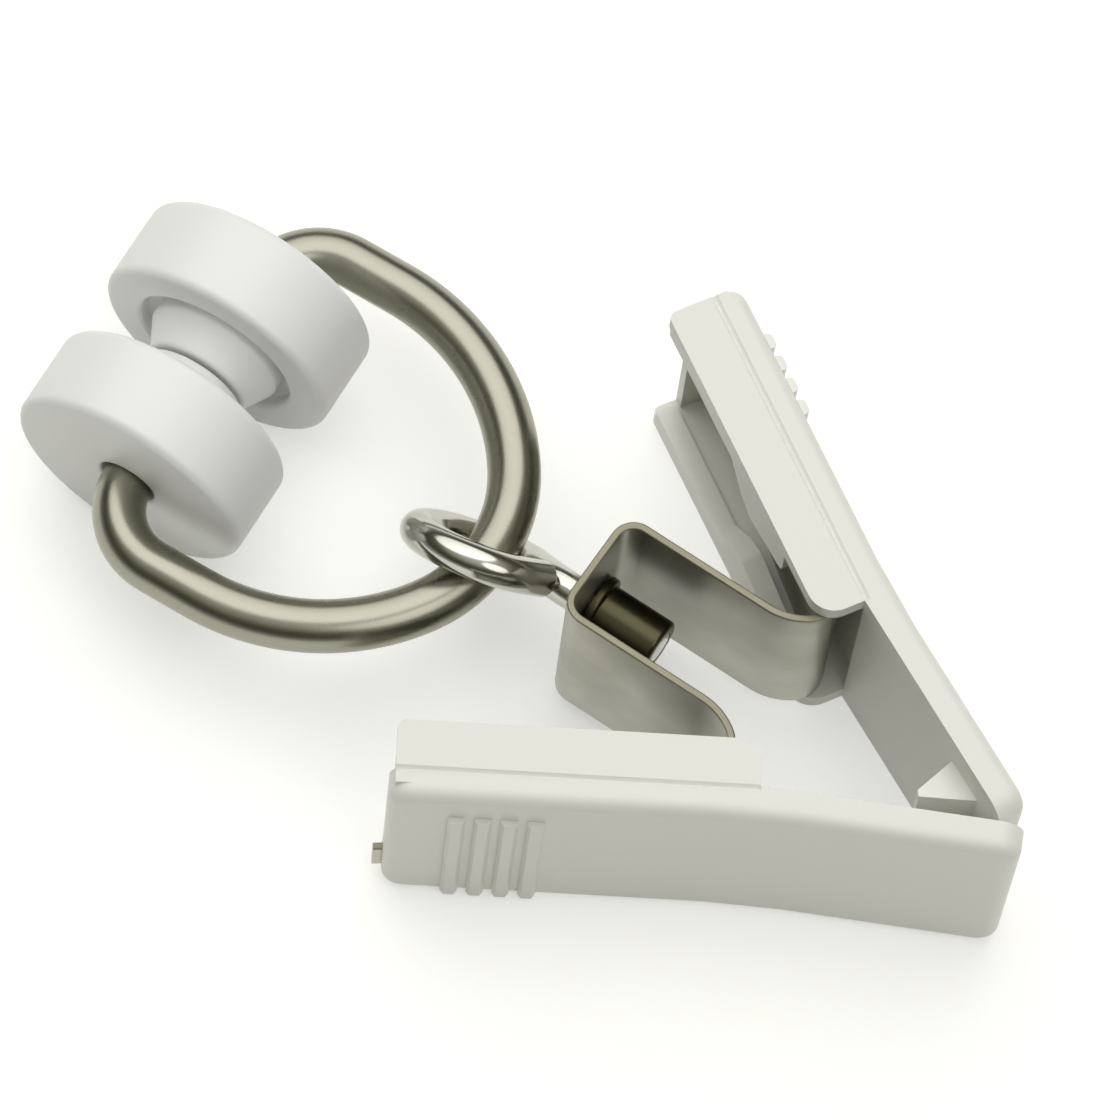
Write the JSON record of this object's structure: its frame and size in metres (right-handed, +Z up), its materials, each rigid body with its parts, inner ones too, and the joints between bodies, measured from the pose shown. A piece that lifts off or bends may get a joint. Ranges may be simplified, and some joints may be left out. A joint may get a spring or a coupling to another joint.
{
  "type": "curtain glider",
  "caption": "Curtain track glider: wheels on a wire ring, linked to a swivel eye that carries a sprung jaw clip for the top edge of a curtain.",
  "frame": {"origin": "middle of the glider's bounding box, on the surface it lies on", "axes": "+X along the pull axis from the wheels to the jaw tips, +Y towards the upper jaw's grip, +Z up from the surface"},
  "size_m": [0.0682, 0.0398, 0.016],
  "materials": {
    "wheel_plastic": "satin",
    "jaw_plastic": "satin",
    "ring_wire": "polished",
    "eye_wire": "polished",
    "sleeve_metal": "satin",
    "spring_strip": "satin"
  },
  "bodies": {
    "spring": {"clip_spring": "spring_strip"},
    "upper_jaw": {"upper_jaw": "jaw_plastic"},
    "lower_jaw": {"lower_jaw": "jaw_plastic"},
    "swivel": {"swivel_eye": "eye_wire", "swivel_sleeve": "sleeve_metal"},
    "ring": {"axle_ring": "ring_wire"},
    "left_wheel": {"left_wheel": "wheel_plastic"},
    "right_wheel": {"right_wheel": "wheel_plastic"}
  },
  "joints": [
    {"name": "upper_jaw_open", "type": "hinge", "parent": "spring", "child": "upper_jaw", "pos_m": [0.01413, 0.00593, 0.008], "axis": [0, 0, 1], "range_deg": [0, 15], "stiffness_Nm_per_rad": 0.5, "springref_deg": -8.59, "deforming": ["clip_spring"]},
    {"name": "lower_jaw_open", "type": "hinge", "parent": "spring", "child": "lower_jaw", "pos_m": [0.01377, -0.00643, 0.008], "axis": [0, 0, -1], "range_deg": [0, 15], "stiffness_Nm_per_rad": 0.5, "springref_deg": -8.59, "deforming": ["clip_spring"]},
    {"name": "eye_swivel", "type": "hinge", "parent": "spring", "child": "swivel", "pos_m": [0.00262, 0, 0.008], "axis": [1, 0, 0], "continuous": true},
    {"name": "ring_swing", "type": "hinge", "parent": "swivel", "child": "ring", "pos_m": [-0.00426, -0.0005, 0.008], "axis": [-0.0558, 0.9984, 0], "range_deg": [-50, 50]},
    {"name": "left_wheel_spin", "type": "hinge", "parent": "ring", "child": "left_wheel", "pos_m": [-0.02568, -0.0017, 0.008], "axis": [-0.0558, 0.9984, 0], "continuous": true},
    {"name": "right_wheel_spin", "type": "hinge", "parent": "ring", "child": "right_wheel", "pos_m": [-0.02568, -0.0017, 0.008], "axis": [-0.0558, 0.9984, 0], "continuous": true}
  ],
  "couplings": [
    {"joint": "lower_jaw_open", "follows": "upper_jaw_open", "ratio": 1}
  ]
}
